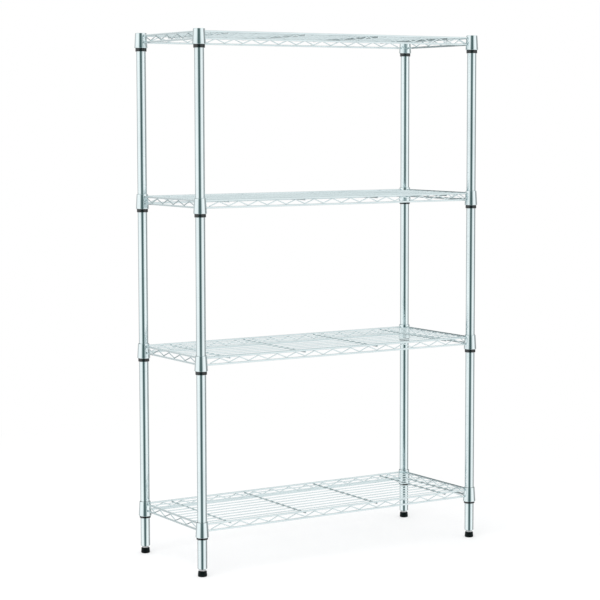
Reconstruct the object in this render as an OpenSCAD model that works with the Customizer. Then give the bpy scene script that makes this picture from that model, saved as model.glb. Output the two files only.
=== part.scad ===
// Steel wire shelving unit: four grooved tube posts on screw feet carry four
// welded wire shelves. Each shelf corner is a tapered collar that wedges down
// over a split sleeve, and the sleeve's inner ridge snaps into a post groove.
// Millimetres, +Z up, X along the shelves, Y from front to back.
// The origin is the middle of the unit's footprint on the floor.

/* [Posts] */
// Outside diameter of a post's tube
post_od = 25.4; // [22:0.1:32]
// Wall thickness of a post's tube
post_wall = 1.2; // [0.8:0.1:2]
// Distance from one groove to the next
groove_pitch = 25.4; // [24:0.1:30]
// Length of a post, in groove pitches
post_pitches = 55; // [46:1:71]
// Width of a groove
groove_w = 1.6; // [1.2:0.1:3]
// Depth of a groove
groove_depth = 0.4; // [0.2:0.05:0.5]
// Bevel round a tube's cut upper end
tube_bevel = 0.3; // [0.1:0.05:0.5]
// Radius over which a post's lower end is rolled in
roll_r = 2; // [1.4:0.1:4]
// Spacing of the posts' centre lines along a shelf
post_span_x = 868; // [500:1:1500]
// Spacing of the posts' centre lines from front to back
post_span_y = 321; // [260:1:600]

/* [Shelf heights] */
// Groove that holds the first shelf's sleeves, counted from the floor end
shelf_1_pitches = 4; // [3:1:10]
// Groove that holds the second shelf's sleeves
shelf_2_pitches = 21; // [14:1:28]
// Groove that holds the third shelf's sleeves
shelf_3_pitches = 37; // [31:1:42]
// How much further the loaded first shelf has settled down its sleeves
settle_shelf_1 = 3.5; // [0:0.1:4.5]

/* [Collars] */
// Height of a collar
collar_h = 40; // [34:1:55]
// Outside diameter of a collar at its lower end
collar_bottom_od = 35; // [34.2:0.1:40]
// Outside diameter of a collar at its upper end
collar_top_od = 30.4; // [29.6:0.1:33]
// Diameter of a collar's tapered bore at its lower end
bore_bottom_d = 30.8; // [30:0.1:31.6]
// Diameter of a collar's tapered bore at its upper end
bore_top_d = 28; // [27.2:0.1:28]
// Radius of a collar's turned-in lower edge
collar_edge_r = 1.6; // [0.6:0.1:2]
// Bevel at a collar's upper edge
collar_bevel = 0.6; // [0.2:0.1:0.8]

/* [Sleeves] */
// Height of a sleeve's lip that shows below a collar
sleeve_lip_h = 9; // [6:0.5:14]
// Distance from a sleeve's upper end to its collar's upper end
sleeve_recess = 3; // [1:0.5:10]
// Play between a sleeve's taper and a collar's bore
taper_play = 0.3; // [0.25:0.05:0.5]
// Play between a sleeve and its post
sleeve_play = 0.1; // [0.05:0.05:0.2]
// Play beside a sleeve's ridge in its groove
ridge_play = 0.2; // [0.1:0.05:0.4]
// Width of the open seam between the two halves of a sleeve
seam_w = 0.8; // [0.4:0.1:2]
// Radius of a sleeve's lower outer edge
lip_edge_r = 0.8; // [0.3:0.1:1.2]

/* [Shelf wires] */
// Diameter of the rim wires
rim_d = 5; // [4:0.1:6]
// Diameter of the long wires that make the shelf's surface
deck_d = 2.8; // [2:0.1:4]
// Diameter of the cross wires under the surface
cross_d = 4; // [3:0.1:5]
// Diameter of the zigzag wires between the rims
zigzag_d = 2.8; // [2:0.1:3.4]
// Distance from a collar's upper end down to the top rim's centre line
rim_drop = 7; // [5:0.5:12]
// Distance between the centre lines of the top rim and the bottom rim
truss_h = 18; // [16:0.5:21]
// Number of long wires in a shelf's surface
deck_count = 10; // [8:1:16]
// Number of cross wires under a shelf's surface
cross_count = 4; // [2:1:6]
// How far a cross wire's cut ends stand past the rims' centre lines
cross_overhang = 3; // [2.5:0.5:8]
// Length of one wave of the zigzag, before it is fitted to its side
zigzag_pitch = 58; // [48:1:76]
// Distance from a post's centre line to the end of a zigzag
zigzag_inset = 27; // [24:0.5:36]
// Radius of the zigzag's bends, on the wire's centre line
bend_r = 4; // [3:0.5:6]
// Depth that the long, cross and zigzag wires melt into each other at a weld
weld_sink = 0.3; // [0.2:0.05:0.4]
// Depth that a rim wire's end melts into a collar
collar_weld = 0.5; // [0.4:0.05:0.8]

/* [Feet and caps] */
// Distance from the floor to the lower end of the posts
foot_h = 20; // [17:0.5:30]
// Diameter of a foot's pad just above the floor
pad_bottom_d = 24.4; // [20:0.1:32]
// Diameter of a foot's pad at its upper end
pad_top_d = 22.6; // [18:0.1:26]
// Distance across the six grip flats of a pad
pad_flats_w = 21.4; // [20:0.1:24]
// Height of the round skirt below the grip flats
pad_skirt_h = 7; // [6:0.5:9]
// Radius of a pad's lower edge
pad_edge_r = 3; // [1.5:0.1:4]
// Height of the hexagon that turns a foot's screw, between its pad and its post
hex_h = 4.8; // [3.5:0.1:6]
// Distance across the flats of that hexagon
hex_w = 17; // [13:0.5:18]
// Running gap above and below the hexagon
pad_gap = 0.3; // [0.2:0.05:0.6]
// Thickness of a pad under its screw
pad_floor = 4; // [3:0.5:6]
// Diameter of a foot's screw
screw_d = 9.8; // [8:0.1:12]
// Length of a foot's screw above the lower end of the post
screw_reach = 34; // [24:1:60]
// Play round a screw in its pad
pad_play = 0.08; // [0.05:0.01:0.1]
// Play round a screw in its threaded bush
bush_play = 0.1; // [0.05:0.01:0.15]
// Height of the threaded bush in a post's lower end
bush_h = 20; // [12:1:40]
// Depth of the plug of a post's top cap
cap_h = 12; // [8:0.5:25]
// Wall thickness of a top cap
cap_wall = 1.6; // [1.2:0.1:2.5]
// Rise of the top cap's shallow dome
cap_dome = 1; // [0.4:0.1:1.5]
// Play between a bush or cap and the bore of its post
plug_play = 0.05; // [0.02:0.01:0.1]

/* [Hidden] */

// Smoothness of round posts, collars and feet, and of the thin wires
$fn = 48;
wire_fn = 20;
// Flat steps in each rounded edge of a turned profile
edge_steps = 5;
// Flat steps in each bend of a zigzag, and flat sides of its wire
bend_steps = 2;
zigzag_sides = 6;

chrome = [0.80, 0.86, 0.87];
wire_chrome = [0.78, 0.82, 0.83];
zinc = [0.62, 0.63, 0.64];
black_plastic = [0.07, 0.08, 0.08];

post_r = post_od / 2;
tube_bore_r = post_r - post_wall;
post_length = post_pitches * groove_pitch;
post_top = foot_h + post_length;

// Outer radius of a collar and radius of its bore, at height y above its lower end
function collar_r(y) = (collar_bottom_od + (collar_top_od - collar_bottom_od) * y / collar_h) / 2;
function bore_r(y) = (bore_bottom_d + (bore_top_d - bore_bottom_d) * y / collar_h) / 2;

// The top shelf's collars end level with the posts, which places the ridge in a sleeve
ridge_y = sleeve_lip_h + collar_h - groove_pitch;
sleeve_h = sleeve_lip_h + collar_h - sleeve_recess;
sleeve_bore_r = post_r + sleeve_play;
sleeve_lip_r = bore_r(0) - taper_play;

shelf_grooves = [shelf_1_pitches, shelf_2_pitches, shelf_3_pitches, post_pitches - 1];
shelf_settles = [settle_shelf_1, 0, 0, 0];
// Heights of a tier's sleeves, collars and wires
function sleeve_z(tier) = foot_h + shelf_grooves[tier - 1] * groove_pitch - ridge_y;
function collar_z(tier) = sleeve_z(tier) + sleeve_lip_h - shelf_settles[tier - 1];
function top_rim_z(tier) = collar_z(tier) + collar_h - rim_drop;
function bottom_rim_z(tier) = top_rim_z(tier) - truss_h;
function rim_underside_z(tier) = top_rim_z(tier) - rim_d / 2;

// A zigzag lies between the rims and melts a little into both
zigzag_rise = truss_h - rim_d - zigzag_d + 2 * weld_sink;
function zigzag_low_z(tier) = bottom_rim_z(tier) + (rim_d + zigzag_d) / 2 - weld_sink;
// Strokes that fit a side, and the length of each along that side
function stroke_count(span) = round((span - 2 * zigzag_inset) / (zigzag_pitch / 2));
function stroke_run(span) = (span - 2 * zigzag_inset) / stroke_count(span);
long_waves = floor(stroke_count(post_span_x) / 2);
// Cross wires lie in the valleys of the long zigzags, clear of their peaks
function cross_x(i) = -post_span_x / 2 + zigzag_inset
    + 2 * stroke_run(post_span_x) * round(1 + i * (long_waves - 2) / (cross_count - 1));
deck_spacing = post_span_y / (deck_count + 1);

pad_h = foot_h - hex_h - 2 * pad_gap;
screw_r = screw_d / 2;
screw_bevel = screw_r / 5;

// Points of a quarter-round edge about centre c, from angle a to angle b
function round_edge(c, r, a, b) = [
    for (i = [0:edge_steps]) c + r * [cos(a + (b - a) * i / edge_steps), sin(a + (b - a) * i / edge_steps)]
];

// Puts its children at a post, sx and sy being -1 or 1
module at_post(sx, sy) {
    translate([sx * post_span_x / 2, sy * post_span_y / 2, 0]) children();
}

// Repeats its children at all four posts
module at_posts() {
    for (sx = [-1, 1]) for (sy = [-1, 1]) at_post(sx, sy) children();
}

// Grooved tube, cut square above and rolled in below
module post() {
    slope = groove_depth / 2;
    color(chrome) translate([0, 0, foot_h]) rotate_extrude() polygon(concat(
        round_edge([post_r - roll_r, roll_r], roll_r - post_wall, 0, -90),
        round_edge([post_r - roll_r, roll_r], roll_r, -90, 0),
        [for (k = [1:post_pitches - 1]) each [
            [post_r, k * groove_pitch - groove_w / 2],
            [post_r - groove_depth, k * groove_pitch - groove_w / 2 + slope],
            [post_r - groove_depth, k * groove_pitch + groove_w / 2 - slope],
            [post_r, k * groove_pitch + groove_w / 2]
        ]],
        [[post_r, post_length - tube_bevel], [post_r - tube_bevel, post_length], [tube_bore_r, post_length]]
    ));
}

// Hollow plug with a shallow dome, pressed into a post until it is level with its end
module cap() {
    plug_r = tube_bore_r - plug_play;
    dome_y = cap_h - cap_dome;
    color(black_plastic) translate([0, 0, post_top - cap_h]) rotate_extrude() polygon([
        [plug_r - cap_wall, 0], [plug_r - cap_wall / 4, 0], [plug_r, cap_wall],
        [plug_r, dome_y], [plug_r * 0.85, dome_y + cap_dome * 0.5],
        [plug_r * 0.5, dome_y + cap_dome * 0.88], [0, cap_h],
        [0, dome_y - cap_wall], [plug_r - cap_wall, dome_y - cap_wall]
    ]);
}

// Threaded bush pressed into a post until it meets the rolled-in end
module bush() {
    plug_r = tube_bore_r - plug_play;
    bore = screw_r + bush_play;
    bevel = post_wall / 2;
    color(zinc) translate([0, 0, foot_h + roll_r]) rotate_extrude() polygon([
        [bore + bevel, 0], [plug_r, 0], [plug_r, bush_h - bevel], [plug_r - bevel, bush_h],
        [bore + bevel, bush_h], [bore, bush_h - bevel], [bore, bevel]
    ]);
}

// Screw that carries a pad and climbs through the bush, with a hexagon to turn it by
module screw() {
    foot = pad_floor;
    top = foot_h + screw_reach;
    hex_r = hex_w / 2 / cos(30);
    color(zinc) {
        rotate_extrude() polygon([
            [0, foot], [screw_r - screw_bevel, foot], [screw_r, foot + screw_bevel],
            [screw_r, top - screw_bevel], [screw_r - screw_bevel, top], [0, top]
        ]);
        translate([0, 0, pad_h + pad_gap]) linear_extrude(hex_h)
            polygon([for (i = [0:5]) hex_r * [cos(60 * i), sin(60 * i)]]);
    }
}

// Foot pad, turned to a flare, with a blind hole for the screw and six grip flats
module pad() {
    hole_r = screw_r + pad_play;
    skirt_r = pad_bottom_d / 2;
    color(black_plastic) difference() {
        rotate_extrude() polygon(concat(
            [[0, 0]],
            round_edge([skirt_r - pad_edge_r, pad_edge_r], pad_edge_r, -90, 0),
            [[pad_top_d / 2, pad_h - pad_edge_r / 2], [pad_top_d / 2 - pad_edge_r / 2, pad_h], [0, pad_h]]
        ));
        translate([0, 0, pad_floor]) cylinder(r = hole_r, h = pad_h);
        for (i = [0:5]) rotate([0, 0, 60 * i])
            translate([pad_flats_w / 2, -skirt_r, pad_skirt_h]) cube([skirt_r, 2 * skirt_r, pad_h]);
    }
}

// Half of a split sleeve: straight lip, outer taper, and an inner ridge in the groove
module sleeve_half() {
    seam_deg = asin(seam_w / 2 / sleeve_bore_r);
    tip_r = post_r - groove_depth + sleeve_play;
    half_ridge = (groove_w - ridge_play) / 2;
    slope = groove_depth / 2;
    rotate([0, 0, 90 + seam_deg]) rotate_extrude(angle = 180 - 2 * seam_deg) polygon(concat(
        [[sleeve_bore_r, 0]],
        round_edge([sleeve_lip_r - lip_edge_r, lip_edge_r], lip_edge_r, -90, 0),
        [
            [sleeve_lip_r, sleeve_lip_h],
            [bore_r(sleeve_h - sleeve_lip_h) - taper_play, sleeve_h],
            [sleeve_bore_r, sleeve_h],
            [sleeve_bore_r, ridge_y + half_ridge],
            [tip_r, ridge_y + half_ridge - slope],
            [tip_r, ridge_y - half_ridge + slope],
            [sleeve_bore_r, ridge_y - half_ridge]
        ]
    ));
}

// The left halves (side -1) or right halves (side 1) of a tier's four sleeves
module sleeve_halves(tier, side) {
    color(black_plastic) at_posts() translate([0, 0, sleeve_z(tier)])
        rotate([0, 0, side < 0 ? 0 : 180]) sleeve_half();
}

// A tier's four tapered collars
module collars(tier) {
    color(chrome) at_posts() translate([0, 0, collar_z(tier)]) rotate_extrude() polygon(concat(
        [[bore_r(0), 0]],
        round_edge([collar_r(0) - collar_edge_r, collar_edge_r], collar_edge_r, -90, 0),
        [
            [collar_r(collar_h - collar_bevel), collar_h - collar_bevel],
            [collar_r(collar_h) - collar_bevel, collar_h],
            [bore_r(collar_h), collar_h]
        ]
    ));
}

// Straight wire along X, centred on the origin
module wire_x(d, length) {
    rotate([0, 90, 0]) cylinder(d = d, h = length, center = true, $fn = wire_fn);
}

// Straight wire along Y, centred on the origin
module wire_y(d, length) {
    rotate([90, 0, 0]) cylinder(d = d, h = length, center = true, $fn = wire_fn);
}

// Four rim wires at height z, from collar to collar on every side
module rims(tier, z) {
    seat_r = collar_r(z - collar_z(tier)) - collar_weld;
    color(wire_chrome) for (side = [-1, 1]) {
        translate([0, side * post_span_y / 2, z]) wire_x(rim_d, post_span_x - 2 * seat_r);
        translate([side * post_span_x / 2, 0, z]) wire_y(rim_d, post_span_y - 2 * seat_r);
    }
}

// Long wires of the surface, which rest on the cross wires and end at the short rims
module deck_wires(tier) {
    length = post_span_x - 2 * (rim_d / 2 - weld_sink);
    color(wire_chrome) for (i = [1:deck_count])
        translate([0, -post_span_y / 2 + i * deck_spacing, rim_underside_z(tier) + deck_d / 2])
            wire_x(deck_d, length);
}

// Cross wires under the surface and the long rims
module cross_wires(tier) {
    z = rim_underside_z(tier) - cross_d / 2 + weld_sink;
    color(wire_chrome) for (i = [0:cross_count - 1])
        translate([cross_x(i), 0, z]) wire_y(cross_d, post_span_y + 2 * cross_overhang);
}

// Centre and heading of the zigzag wire at each ring: [x, z, heading], the bends being arcs
// and the strokes between them straight. Bend i has its arc's centre above a valley or below a peak.
function zigzag_path(run, count, tilt) = [
    for (i = [0:count])
        let (
            side = i % 2 == 0 ? 1 : -1,
            arrive = i == 0 ? 0 : -side * tilt,
            leave = i == count ? 0 : side * tilt,
            centre_z = side > 0 ? bend_r : zigzag_rise - bend_r
        )
        for (k = [0:bend_steps])
            let (heading = arrive + (leave - arrive) * k / bend_steps)
            [i * run + side * bend_r * sin(heading), centre_z - side * bend_r * cos(heading), heading]
];

// Zigzag wire along +X from a valley at the origin, swept with flat sides that keep its area
module zigzag(run, count) {
    centre_rise = zigzag_rise - 2 * bend_r;
    between = sqrt(run * run + centre_rise * centre_rise);
    tilt = atan2(centre_rise, run) + asin(2 * bend_r / between);
    path = zigzag_path(run, count, tilt);
    corner_r = zigzag_d / 2 * sqrt(2 * PI / (zigzag_sides * sin(360 / zigzag_sides)));
    rings = len(path);
    points = [
        for (p = path) for (j = [0:zigzag_sides - 1])
            let (a = 360 * (j + 0.5) / zigzag_sides, out = corner_r * sin(a))
            [p[0] - out * sin(p[2]), corner_r * cos(a), p[1] + out * cos(p[2])]
    ];
    faces = concat(
        [[for (j = [0:zigzag_sides - 1]) j]],
        [
            for (i = [0:rings - 2]) for (j = [0:zigzag_sides - 1])
                let (a = i * zigzag_sides + j, b = i * zigzag_sides + (j + 1) % zigzag_sides)
                [a, a + zigzag_sides, b + zigzag_sides, b]
        ],
        [[for (j = [0:zigzag_sides - 1]) (rings - 1) * zigzag_sides + zigzag_sides - 1 - j]]
    );
    polyhedron(points, faces);
}

// Zigzags of the front and the back, with a valley at both ends
module long_zigzags(tier) {
    color(wire_chrome) for (side = [-1, 1])
        translate([-post_span_x / 2 + zigzag_inset, side * post_span_y / 2, zigzag_low_z(tier)])
            zigzag(stroke_run(post_span_x), stroke_count(post_span_x));
}

// Zigzags of the two ends, with a valley at the front
module short_zigzags(tier) {
    color(wire_chrome) for (side = [-1, 1])
        translate([side * post_span_x / 2, -post_span_y / 2 + zigzag_inset, zigzag_low_z(tier)])
            rotate([0, 0, 90]) zigzag(stroke_run(post_span_y), stroke_count(post_span_y));
}

at_post(-1, -1) post();  // post_front_left
at_post(1, -1) post();  // post_front_right
at_post(-1, 1) post();  // post_back_left
at_post(1, 1) post();  // post_back_right
at_post(-1, -1) cap();  // cap_front_left
at_post(1, -1) cap();  // cap_front_right
at_post(-1, 1) cap();  // cap_back_left
at_post(1, 1) cap();  // cap_back_right
at_post(-1, -1) bush();  // bush_front_left
at_post(1, -1) bush();  // bush_front_right
at_post(-1, 1) bush();  // bush_back_left
at_post(1, 1) bush();  // bush_back_right
at_post(-1, -1) screw();  // screw_front_left
at_post(1, -1) screw();  // screw_front_right
at_post(-1, 1) screw();  // screw_back_left
at_post(1, 1) screw();  // screw_back_right
at_post(-1, -1) pad();  // pad_front_left
at_post(1, -1) pad();  // pad_front_right
at_post(-1, 1) pad();  // pad_back_left
at_post(1, 1) pad();  // pad_back_right
sleeve_halves(1, -1);  // sleeves_1_left_halves
sleeve_halves(1, 1);  // sleeves_1_right_halves
sleeve_halves(2, -1);  // sleeves_2_left_halves
sleeve_halves(2, 1);  // sleeves_2_right_halves
sleeve_halves(3, -1);  // sleeves_3_left_halves
sleeve_halves(3, 1);  // sleeves_3_right_halves
sleeve_halves(4, -1);  // sleeves_4_left_halves
sleeve_halves(4, 1);  // sleeves_4_right_halves
collars(1);  // shelf_1_collars
rims(1, top_rim_z(1));  // shelf_1_top_rims
rims(1, bottom_rim_z(1));  // shelf_1_bottom_rims
long_zigzags(1);  // shelf_1_long_zigzags
short_zigzags(1);  // shelf_1_short_zigzags
deck_wires(1);  // shelf_1_deck_wires
cross_wires(1);  // shelf_1_cross_wires
collars(2);  // shelf_2_collars
rims(2, top_rim_z(2));  // shelf_2_top_rims
rims(2, bottom_rim_z(2));  // shelf_2_bottom_rims
long_zigzags(2);  // shelf_2_long_zigzags
short_zigzags(2);  // shelf_2_short_zigzags
deck_wires(2);  // shelf_2_deck_wires
cross_wires(2);  // shelf_2_cross_wires
collars(3);  // shelf_3_collars
rims(3, top_rim_z(3));  // shelf_3_top_rims
rims(3, bottom_rim_z(3));  // shelf_3_bottom_rims
long_zigzags(3);  // shelf_3_long_zigzags
short_zigzags(3);  // shelf_3_short_zigzags
deck_wires(3);  // shelf_3_deck_wires
cross_wires(3);  // shelf_3_cross_wires
collars(4);  // shelf_4_collars
rims(4, top_rim_z(4));  // shelf_4_top_rims
rims(4, bottom_rim_z(4));  // shelf_4_bottom_rims
long_zigzags(4);  // shelf_4_long_zigzags
short_zigzags(4);  // shelf_4_short_zigzags
deck_wires(4);  // shelf_4_deck_wires
cross_wires(4);  // shelf_4_cross_wires
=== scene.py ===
"""Dresses the chrome wire shelving unit: posts, sleeves, collars, wires and feet as smooth surfaces.

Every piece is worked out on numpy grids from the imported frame's own boxes, rides on its body and
stands for the node whose place it takes. Lengths are metres unless a name says otherwise.
"""

import logging
import math
from dataclasses import dataclass, field
from enum import Enum

import bpy
import numpy as np
from bpy.types import Node, NodeSocket
from mathutils import Matrix, Vector


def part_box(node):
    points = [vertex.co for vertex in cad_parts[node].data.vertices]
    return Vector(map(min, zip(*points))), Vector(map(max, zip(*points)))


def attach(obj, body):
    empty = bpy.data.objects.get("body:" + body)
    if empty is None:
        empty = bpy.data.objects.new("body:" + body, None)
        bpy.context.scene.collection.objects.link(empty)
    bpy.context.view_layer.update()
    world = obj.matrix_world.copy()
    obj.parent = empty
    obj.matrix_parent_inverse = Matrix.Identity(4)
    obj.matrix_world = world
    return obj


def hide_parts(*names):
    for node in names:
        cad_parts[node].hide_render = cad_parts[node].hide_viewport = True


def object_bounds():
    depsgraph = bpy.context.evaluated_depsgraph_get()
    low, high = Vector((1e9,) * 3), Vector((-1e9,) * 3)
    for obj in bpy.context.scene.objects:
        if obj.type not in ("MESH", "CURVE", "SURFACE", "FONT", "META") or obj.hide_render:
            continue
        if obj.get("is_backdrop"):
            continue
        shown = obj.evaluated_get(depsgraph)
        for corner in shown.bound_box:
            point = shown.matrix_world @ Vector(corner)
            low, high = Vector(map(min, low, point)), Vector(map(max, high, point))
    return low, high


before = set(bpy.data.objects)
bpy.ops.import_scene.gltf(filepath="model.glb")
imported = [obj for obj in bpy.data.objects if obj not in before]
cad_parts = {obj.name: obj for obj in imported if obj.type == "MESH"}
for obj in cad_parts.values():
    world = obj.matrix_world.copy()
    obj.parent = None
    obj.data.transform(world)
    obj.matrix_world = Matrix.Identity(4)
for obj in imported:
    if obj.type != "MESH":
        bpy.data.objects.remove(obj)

LOG = logging.getLogger("wire_shelving")
MM = 0.001
CORNERS = {"front_left": (-1, -1), "front_right": (1, -1), "back_left": (-1, 1), "back_right": (1, 1)}
TIERS = (1, 2, 3, 4)
# Edges sharper than this stay crisp on the small moulded and turned pieces
CRISP_DEG = 30.0


class Slot(Enum):
    """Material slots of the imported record."""

    POST = "post_chrome"
    COLLAR = "collar_chrome"
    WIRE = "wire_chrome"
    STEEL = "zinc_steel"
    PLASTIC = "black_plastic"


class Lay(Enum):
    """Which way a wire's polishing marks run, as the two UV scales of its noise."""

    ALONG_WIRE = (14.0, 900.0)
    ROUND_POST = (700.0, 22.0)


# Finishes


@dataclass(frozen=True)
class ShaderNodes:
    """A material or world under construction, with short calls to add and join its nodes.

    Args:
        owner: The material or world whose node tree is filled.
    """

    owner: bpy.types.Material | bpy.types.World

    def add(self, kind: str, **sockets: object) -> Node:
        """Adds a node and sets its input sockets.

        Args:
            kind: Blender's name of the node type, without the word ShaderNode before it.
            sockets: Input values, by socket name with underscores for spaces.

        Returns:
            The new node.
        """
        node = self.owner.node_tree.nodes.new(f"ShaderNode{kind}")
        for name, value in sockets.items():
            node.inputs[name.replace("_", " ")].default_value = value
        return node

    def join(self, source: NodeSocket, target: NodeSocket) -> None:
        """Links one socket to another."""
        self.owner.node_tree.links.new(source, target)

    def ramp(self, factor: NodeSocket, stops: list[tuple[float, tuple]]) -> NodeSocket:
        """Adds a colour ramp.

        Args:
            factor: The socket that drives the ramp.
            stops: Position and colour of each stop, in order.

        Returns:
            The ramp's colour output.
        """
        node = self.add("ValToRGB")
        elements = node.color_ramp.elements
        while len(elements) < len(stops):
            elements.new(0.5)
        for element, (position, colour) in zip(elements, stops):
            element.position = position
            element.color = (*colour, 1.0)
        self.join(factor, node.inputs["Fac"])
        return node.outputs["Color"]

    def relief(self, kind: str, output: str, strength: float, distance: float, surface: Node,
               **sockets: object) -> None:
        """Raises a fine grain on the object's own coordinates.

        Args:
            kind: The texture's node type.
            output: The texture's output that gives the height.
            strength: Strength of the bump.
            distance: Height of the grain, as the bump's distance.
            surface: The shader that gets the bump.
            sockets: The texture's input values.
        """
        bump = self.add("Bump", Strength=strength, Distance=distance)
        self.join(self.texture(kind, **sockets).outputs[output], bump.inputs["Height"])
        self.join(bump.outputs["Normal"], surface.inputs["Normal"])

    def texture(self, kind: str, **sockets: object) -> Node:
        """Adds a texture on the object's own coordinates.

        Args:
            kind: The texture's node type.
            sockets: Its input values.

        Returns:
            The new texture node.
        """
        node = self.add(kind, **sockets)
        self.join(self.add("TexCoord").outputs["Object"], node.inputs["Vector"])
        return node

    def span(self, value: NodeSocket, to: tuple, of: tuple = (0.0, 1.0)) -> NodeSocket:
        """Maps a value linearly from one range onto another and stops at its limits.

        Args:
            value: The socket with the value.
            to: The two limits of the result.
            of: The two limits of the value.

        Returns:
            The result's socket.
        """
        node = self.add("MapRange", From_Min=of[0], From_Max=of[1], To_Min=to[0], To_Max=to[1])
        self.join(value, node.inputs["Value"])
        return node.outputs["Result"]

    def mottle(self, value: NodeSocket, gloss: tuple, stops: list[tuple[float, tuple]],
               surface: Node) -> None:
        """Varies a shader's roughness and colour together over the surface.

        Args:
            value: The socket that both follow.
            gloss: Lowest and highest roughness.
            stops: Position and colour of each stop of the colour.
            surface: The shader.
        """
        self.join(self.span(value, gloss), surface.inputs["Roughness"])
        self.join(self.ramp(value, stops), surface.inputs["Base Color"])

    def maths(self, kind: str, operation: str, *sources: NodeSocket) -> Node:
        """Adds a maths node and joins its first inputs.

        Args:
            kind: The maths node's type.
            operation: Blender's name of the operation.
            sources: The sockets for its first inputs.

        Returns:
            The new maths node.
        """
        node = self.add(kind)
        node.operation = operation
        for source, target in zip(sources, node.inputs):
            self.join(source, target)
        return node


@dataclass(frozen=True)
class Finish:
    """One surface finish, made once and shared by the pieces that have it.

    Args:
        name: Name of the Blender material.
    """

    name: str

    def build(self) -> bpy.types.Material:
        """Makes the material, unless it is there already.

        Returns:
            The finish's material.
        """
        made = bpy.data.materials.get(self.name)
        if made is None:
            made = bpy.data.materials.new(self.name)
            made.use_nodes = True
            self.dress(ShaderNodes(made), made.node_tree.nodes["Principled BSDF"])
        return made

    def dress(self, nodes: ShaderNodes, surface: Node) -> None:
        """Fills in the finish's own nodes."""
        raise NotImplementedError


@dataclass(frozen=True)
class Chrome(Finish):
    """Bright chrome plate: a cool mirror with faint polishing marks and a slight haze in places.

    Args:
        tint: Linear colour of the plate where it is clean.
        haze_tint: Linear colour where it is slightly hazed.
        gloss: Lowest and highest roughness over the surface.
        lay: Direction of the polishing marks on the piece's UV map.
        mark_depth: Height of the polishing marks, as the bump's distance.
    """

    tint: tuple = (0.80, 0.90, 0.915)
    haze_tint: tuple = (0.74, 0.83, 0.85)
    gloss: tuple = (0.07, 0.13)
    lay: Lay = Lay.ROUND_POST
    mark_depth: float = 0.00002

    def dress(self, nodes: ShaderNodes, surface: Node) -> None:
        """Adds the marks on the UV map and the haze on the object's own coordinates.

        Args:
            nodes: The material's nodes.
            surface: Its shader.
        """
        surface.inputs["Metallic"].default_value = 1.0
        coords = nodes.add("TexCoord")
        stretch = nodes.add("Mapping", Scale=(*self.lay.value, 1.0))
        marks = nodes.add("TexNoise", Scale=1.0, Detail=4.0, Roughness=0.6)
        haze = nodes.texture("TexNoise", Scale=9.0, Detail=3.0, Roughness=0.55)
        bump = nodes.add("Bump", Strength=0.25, Distance=self.mark_depth)
        nodes.join(coords.outputs["UV"], stretch.inputs["Vector"])
        nodes.join(stretch.outputs["Vector"], marks.inputs["Vector"])
        nodes.join(marks.outputs["Fac"], bump.inputs["Height"])
        nodes.join(bump.outputs["Normal"], surface.inputs["Normal"])
        nodes.mottle(haze.outputs["Fac"], self.gloss, [(0.35, self.tint), (0.75, self.haze_tint)], surface)


@dataclass(frozen=True)
class Zinc(Finish):
    """Zinc-plated screw steel: grey, satin, with small blotches.

    Args:
        pale: Linear colour of the plate.
        dull: Linear colour of its blotches.
        gloss: Lowest and highest roughness over the surface.
        grain_depth: Height of the grain, as the bump's distance.
    """

    pale: tuple = (0.56, 0.57, 0.58)
    dull: tuple = (0.40, 0.41, 0.42)
    gloss: tuple = (0.28, 0.42)
    grain_depth: float = 0.00003

    def dress(self, nodes: ShaderNodes, surface: Node) -> None:
        """Adds blotches and grain on the object's own coordinates.

        Args:
            nodes: The material's nodes.
            surface: Its shader.
        """
        surface.inputs["Metallic"].default_value = 1.0
        blotch = nodes.texture("TexNoise", Scale=260.0, Detail=3.0)
        nodes.relief("TexNoise", "Fac", 0.3, self.grain_depth, surface, Scale=1800.0, Detail=2.0)
        nodes.mottle(blotch.outputs["Fac"], self.gloss, [(0.35, self.pale), (0.7, self.dull)], surface)


@dataclass(frozen=True)
class BlackPlastic(Finish):
    """Moulded black plastic with a fine spark-eroded grain and slightly rubbed patches.

    Args:
        dark: Linear colour of the moulding.
        rubbed: Linear colour where it is scuffed.
        gloss: Lowest and highest roughness over the surface.
        shine: How strongly it mirrors, as the specular level.
        grain_depth: Height of the grain, as the bump's distance.
    """

    dark: tuple = (0.0012, 0.004, 0.0042)
    rubbed: tuple = (0.004, 0.011, 0.0115)
    gloss: tuple = (0.42, 0.58)
    shine: float = 0.12
    grain_depth: float = 0.00004

    def dress(self, nodes: ShaderNodes, surface: Node) -> None:
        """Adds the grain and the rubbed patches on the object's own coordinates.

        Args:
            nodes: The material's nodes.
            surface: Its shader.
        """
        surface.inputs["Specular IOR Level"].default_value = self.shine
        patch = nodes.texture("TexNoise", Scale=120.0, Detail=4.0)
        nodes.relief("TexVoronoi", "Distance", 0.35, self.grain_depth, surface, Scale=2600.0)
        nodes.mottle(patch.outputs["Fac"], self.gloss, [(0.4, self.dark), (0.8, self.rubbed)], surface)


POST_FINISH = Chrome("polished_tube_chrome")
COLLAR_FINISH = Chrome("formed_collar_chrome", gloss=(0.06, 0.12))
WIRE_FINISH = Chrome("drawn_wire_chrome", tint=(0.80, 0.88, 0.895), haze_tint=(0.74, 0.82, 0.84),
                     gloss=(0.10, 0.18), lay=Lay.ALONG_WIRE)
WELD_FINISH = Chrome("plated_weld_chrome", tint=(0.72, 0.79, 0.805), haze_tint=(0.64, 0.71, 0.73),
                     gloss=(0.18, 0.30), lay=Lay.ALONG_WIRE)
STEEL_FINISH = Zinc("zinc_plated_steel")
PLASTIC_FINISH = BlackPlastic("moulded_black_plastic")
SLEEVE_FINISH = BlackPlastic("polished_black_plastic", gloss=(0.10, 0.16), shine=0.8)


# Surfaces


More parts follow.
